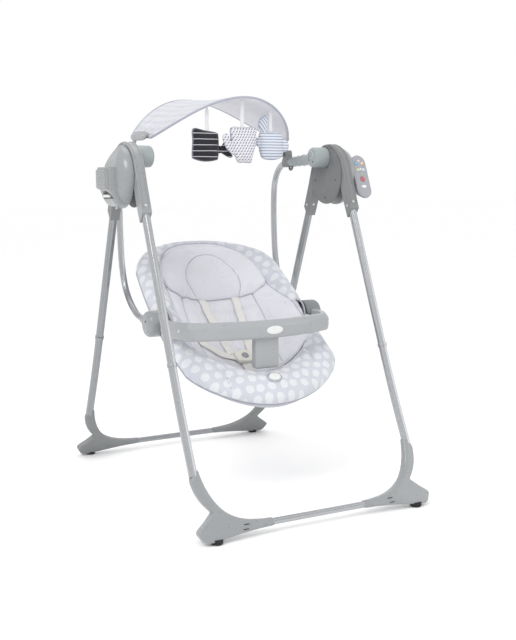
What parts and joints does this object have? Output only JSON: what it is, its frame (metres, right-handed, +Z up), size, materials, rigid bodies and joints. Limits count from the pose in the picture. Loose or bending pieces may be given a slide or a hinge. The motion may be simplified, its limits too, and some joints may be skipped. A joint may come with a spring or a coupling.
{
  "type": "baby swing",
  "caption": "Infant swing: folding tube A-frame, side hubs with battery box and control pod, hanger arms, padded reclining seat with harness and tray, arched toy bar.",
  "frame": {"origin": "on the floor, under the middle of the open frame", "axes": "+Z up, +X along the swing axle towards the control pod, -Y towards the baby's feet"},
  "size_m": [0.742, 0.904, 1.0357],
  "materials": {
    "grey_plastic": "satin moulded plastic",
    "dark_plastic": "fine matt moulded plastic",
    "tube_metal": "brushed and anodised, with pressed grooves",
    "steel": "plain",
    "frame_metal": "satin",
    "black_rubber": "matt",
    "bearing_plastic": "smooth",
    "seat_print": "woven cotton with a soft blob print",
    "plain_fabric": "plain weave",
    "webbing": "ribbed webbing",
    "buckle_plastic": "smooth",
    "stud_plastic": "smooth",
    "cell_wrap": "printed sleeve",
    "board": "solder mask",
    "black_plastic": "smooth",
    "copper": "varnished winding",
    "dark_fabric": "plain weave with pale stripes",
    "key_red": "smooth",
    "key_blue": "smooth",
    "key_orange": "smooth",
    "key_yellow": "smooth",
    "key_pale": "smooth"
  },
  "bodies": {
    "front_frame": {"front_leg_left": "tube_metal", "front_leg_right": "tube_metal", "front_foot_left": "grey_plastic", "front_foot_right": "grey_plastic", "front_pad_left": "black_rubber", "front_pad_right": "black_rubber", "front_head_left": "grey_plastic", "front_head_right": "grey_plastic", "front_base_tube": "tube_metal", "hub_plate_left": "dark_plastic", "hub_plate_right": "dark_plastic", "axle_bearing_left": "bearing_plastic", "axle_bearing_right": "bearing_plastic", "hub_shell_left": "grey_plastic", "hub_shell_right": "grey_plastic", "battery_upper": "cell_wrap", "battery_lower": "cell_wrap", "control_panel": "grey_plastic", "circuit_board": "board", "speaker": "black_plastic", "drive_coil": "copper"},
    "rear_frame": {"rear_leg_left": "tube_metal", "rear_leg_right": "tube_metal", "rear_foot_left": "grey_plastic", "rear_foot_right": "grey_plastic", "rear_pad_left": "black_rubber", "rear_pad_right": "black_rubber", "rear_head_left": "grey_plastic", "rear_head_right": "grey_plastic", "rear_base_tube": "tube_metal"},
    "swing": {"swing_knob_left": "grey_plastic", "swing_knob_right": "grey_plastic", "arm_clamp_left": "dark_plastic", "arm_clamp_right": "dark_plastic", "hanger_arm_left": "tube_metal", "hanger_arm_right": "tube_metal", "pivot_cover_left": "grey_plastic", "pivot_cover_right": "grey_plastic", "magnet_arm": "steel"},
    "seat": {"seat_frame": "frame_metal", "seat_pad": "seat_print", "head_pillow": "plain_fabric", "harness_straps": "webbing", "harness_buckle": "buckle_plastic", "footrest_stud": "stud_plastic"},
    "tray": {"play_tray": "grey_plastic"},
    "toy_bar": {"canopy_fabric": "seat_print", "canopy_clip_left": "grey_plastic", "canopy_clip_right": "grey_plastic"},
    "toy_block_body": {"toy_block": "dark_fabric"},
    "toy_elephant_body": {"toy_elephant": "plain_fabric"},
    "toy_fish_body": {"toy_fish": "plain_fabric"},
    "power_key": {"button_power": "key_red"},
    "melody_key": {"button_melody": "key_blue"},
    "nature_key": {"button_nature": "key_orange"},
    "volume_key": {"button_volume": "key_yellow"},
    "timer_key": {"button_timer": "key_pale"},
    "buckle_key": {"buckle_button": "dark_plastic"},
    "latch": {"battery_latch": "stud_plastic"},
    "door": {"battery_door": "grey_plastic"}
  },
  "joints": [
    {"name": "rear_fold", "type": "hinge", "parent": "front_frame", "child": "rear_frame", "pos_m": [0, 0, 0.816], "axis": [1, 0, 0], "range_deg": [-45, 0]},
    {"name": "swing_turn", "type": "hinge", "parent": "front_frame", "child": "swing", "pos_m": [0, 0, 0.866], "axis": [1, 0, 0], "range_deg": [-15, 15]},
    {"name": "seat_recline", "type": "hinge", "parent": "swing", "child": "seat", "pos_m": [0, 0.01, 0.44], "axis": [1, 0, 0], "range_deg": [-18, 6]},
    {"name": "tray_lift", "type": "slide", "parent": "seat", "child": "tray", "axis": [0, -0.606, 0.7955], "range_m": [0, 0.06]},
    {"name": "toy_bar_tilt", "type": "hinge", "parent": "swing", "child": "toy_bar", "pos_m": [0, 0.14, 0.8815], "axis": [1, 0, 0], "range_deg": [-20, 25]},
    {"name": "toy_block_swing", "type": "hinge", "parent": "toy_bar", "child": "toy_block_body", "pos_m": [-0.091, -0.02799, 0.99275], "axis": [1, 0, 0], "range_deg": [-2, 35]},
    {"name": "toy_elephant_swing", "type": "hinge", "parent": "toy_bar", "child": "toy_elephant_body", "pos_m": [-0.001, -0.04901, 1.01311], "axis": [1, 0, 0], "range_deg": [-35, 2]},
    {"name": "toy_fish_swing", "type": "hinge", "parent": "toy_bar", "child": "toy_fish_body", "pos_m": [0.094, -0.02653, 0.99139], "axis": [1, 0, 0], "range_deg": [-35, 35]},
    {"name": "power_press", "type": "slide", "parent": "front_frame", "child": "power_key", "axis": [0, 0.9232, -0.3843], "range_m": [0, 0.0012], "stiffness_N_per_m": 300, "springref_m": -0.0006},
    {"name": "melody_press", "type": "slide", "parent": "front_frame", "child": "melody_key", "axis": [0, 0.9232, -0.3843], "range_m": [0, 0.0012], "stiffness_N_per_m": 300, "springref_m": -0.0006},
    {"name": "nature_press", "type": "slide", "parent": "front_frame", "child": "nature_key", "axis": [0, 0.9232, -0.3843], "range_m": [0, 0.0012], "stiffness_N_per_m": 300, "springref_m": -0.0006},
    {"name": "volume_press", "type": "slide", "parent": "front_frame", "child": "volume_key", "axis": [0, 0.9232, -0.3843], "range_m": [0, 0.0012], "stiffness_N_per_m": 300, "springref_m": -0.0006},
    {"name": "timer_press", "type": "slide", "parent": "front_frame", "child": "timer_key", "axis": [0, 0.9232, -0.3843], "range_m": [0, 0.0012], "stiffness_N_per_m": 300, "springref_m": -0.0006},
    {"name": "buckle_press", "type": "slide", "parent": "seat", "child": "buckle_key", "axis": [0, 0.606, -0.7955], "range_m": [0, 0.0015], "stiffness_N_per_m": 300, "springref_m": -0.0006},
    {"name": "latch_lift", "type": "slide", "parent": "front_frame", "child": "latch", "axis": [0, 0, 1], "range_m": [0, 0.003], "stiffness_N_per_m": 200, "springref_m": -0.001},
    {"name": "door_open", "type": "hinge", "parent": "front_frame", "child": "door", "pos_m": [-0.3678, 0, 0.8334], "axis": [0, 1, 0], "range_deg": [0, 80]}
  ]
}
